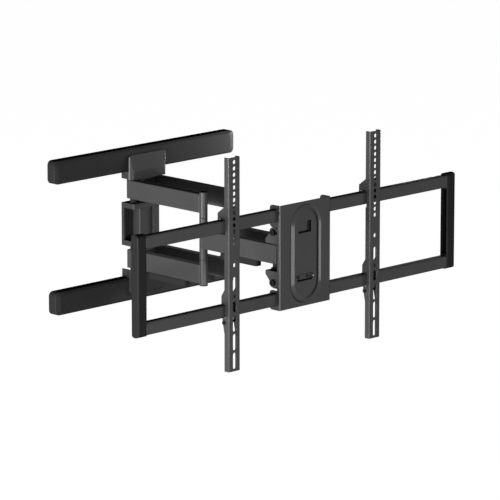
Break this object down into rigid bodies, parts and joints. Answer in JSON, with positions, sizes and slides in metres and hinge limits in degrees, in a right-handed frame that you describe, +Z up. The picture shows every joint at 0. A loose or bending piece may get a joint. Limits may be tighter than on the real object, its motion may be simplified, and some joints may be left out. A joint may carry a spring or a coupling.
{
  "type": "full motion tv wall mount",
  "caption": "Wall mount with a mirrored pair of folding arms, a tilting and levelling head, and a wide rail frame that carries sliding vertical screen brackets.",
  "frame": {"origin": "On the wall plane, on the mount's middle line, at the mid height of the arms.", "axes": "+X right as seen from the room, +Y into the wall, +Z up; the mount reaches out of the wall along -Y"},
  "size_m": [0.9, 0.4814, 0.427],
  "materials": {
    "steel_coat": "fine powder coat, satin black",
    "plate_coat": "fine powder coat, satin black",
    "bracket_coat": "fine powder coat, satin black",
    "arm_coat": "smooth powder coat, satin black",
    "rail_coat": "smooth powder coat, satin black",
    "cover_plastic": "fine spark-eroded texture",
    "cap_plastic": "moulded, satin",
    "fastener_black": "black oxide",
    "bushing_nylon": "moulded nylon"
  },
  "bodies": {
    "wall": {"wall_rail_upper": "steel_coat", "wall_rail_lower": "steel_coat", "rail_cover_upper": "cover_plastic", "rail_cover_lower": "cover_plastic", "pivot_cover_upper": "cover_plastic", "pivot_cover_lower": "cover_plastic", "spine": "steel_coat", "pivot_bracket_upper": "steel_coat", "pivot_bracket_middle": "steel_coat", "pivot_bracket_lower": "steel_coat", "brace_rear": "steel_coat", "brace_front": "steel_coat", "wall_pivot_bolts": "fastener_black", "wall_bushings": "bushing_nylon", "wall_bolt_nuts": "fastener_black"},
    "rear_left": {"rear_arm_upper_left": "arm_coat", "rear_arm_lower_left": "arm_coat", "elbow_rod_left": "fastener_black", "elbow_washers_left": "bushing_nylon", "elbow_caps_left": "cap_plastic", "cable_cover_rear_left": "cover_plastic"},
    "rear_right": {"rear_arm_upper_right": "arm_coat", "rear_arm_lower_right": "arm_coat", "elbow_rod_right": "fastener_black", "elbow_washers_right": "bushing_nylon", "elbow_caps_right": "cap_plastic", "cable_cover_rear_right": "cover_plastic"},
    "front_left": {"front_arm_left": "arm_coat", "cable_cover_front_left": "cover_plastic"},
    "front_right": {"front_arm_right": "arm_coat", "cable_cover_front_right": "cover_plastic"},
    "head": {"yoke_upper": "steel_coat", "yoke_lower": "steel_coat", "head_rods": "fastener_black", "head_bushings": "bushing_nylon", "head_rod_nuts": "fastener_black", "tilt_bolts_lower": "fastener_black", "tilt_washers_lower": "fastener_black", "tilt_nuts_lower": "fastener_black"},
    "tilt": {"tilt_bracket": "steel_coat", "tilt_bolts_upper": "fastener_black", "tilt_washers_upper": "fastener_black", "tilt_nuts_upper": "fastener_black"},
    "panel": {"centre_plate": "plate_coat", "level_pivot": "steel_coat", "level_screws": "fastener_black", "frame_rail_upper": "rail_coat", "frame_rail_lower": "rail_coat", "frame_post_left": "cap_plastic", "frame_post_right": "cap_plastic", "rail_clamp_screws": "fastener_black"},
    "bracket_left": {"screen_bracket_left": "bracket_coat", "lock_screw_left": "fastener_black", "lock_nuts_left": "fastener_black"},
    "bracket_right": {"screen_bracket_right": "bracket_coat", "lock_screw_right": "fastener_black", "lock_nuts_right": "fastener_black"}
  },
  "joints": [
    {"name": "shoulder_left", "type": "hinge", "parent": "wall", "child": "rear_left", "pos_m": [-0.0364, -0.021, 0], "axis": [0, 0, 1], "range_deg": [-82, 0]},
    {"name": "elbow_left", "type": "hinge", "parent": "rear_left", "child": "front_left", "pos_m": [-0.0364, -0.2275, 0], "axis": [0, 0, 1], "range_deg": [0, 164]},
    {"name": "head_turn", "type": "hinge", "parent": "front_left", "child": "head", "pos_m": [-0.0364, -0.434, 0], "axis": [0, 0, 1], "range_deg": [-82, 0]},
    {"name": "shoulder_right", "type": "hinge", "parent": "wall", "child": "rear_right", "pos_m": [0.0364, -0.021, 0], "axis": [0, 0, 1], "range_deg": [0, 82]},
    {"name": "elbow_right", "type": "hinge", "parent": "rear_right", "child": "front_right", "pos_m": [0.0364, -0.2275, 0], "axis": [0, 0, 1], "range_deg": [-164, 0]},
    {"name": "tilt", "type": "hinge", "parent": "head", "child": "tilt", "pos_m": [0, -0.4536, 0], "axis": [1, 0, 0], "range_deg": [-4, 12]},
    {"name": "level", "type": "hinge", "parent": "tilt", "child": "panel", "pos_m": [0, -0.4754, 0.0128], "axis": [0, 1, 0], "range_deg": [-3, 3]},
    {"name": "slide_left", "type": "slide", "parent": "panel", "child": "bracket_left", "axis": [1, 0, 0], "range_m": [-0.2, 0.1]},
    {"name": "slide_right", "type": "slide", "parent": "panel", "child": "bracket_right", "axis": [1, 0, 0], "range_m": [-0.1, 0.2]}
  ],
  "couplings": [
    {"joint": "elbow_left", "follows": "shoulder_left", "ratio": -2},
    {"joint": "head_turn", "follows": "shoulder_left", "ratio": 1},
    {"joint": "shoulder_right", "follows": "shoulder_left", "ratio": -1},
    {"joint": "elbow_right", "follows": "shoulder_left", "ratio": 2}
  ]
}
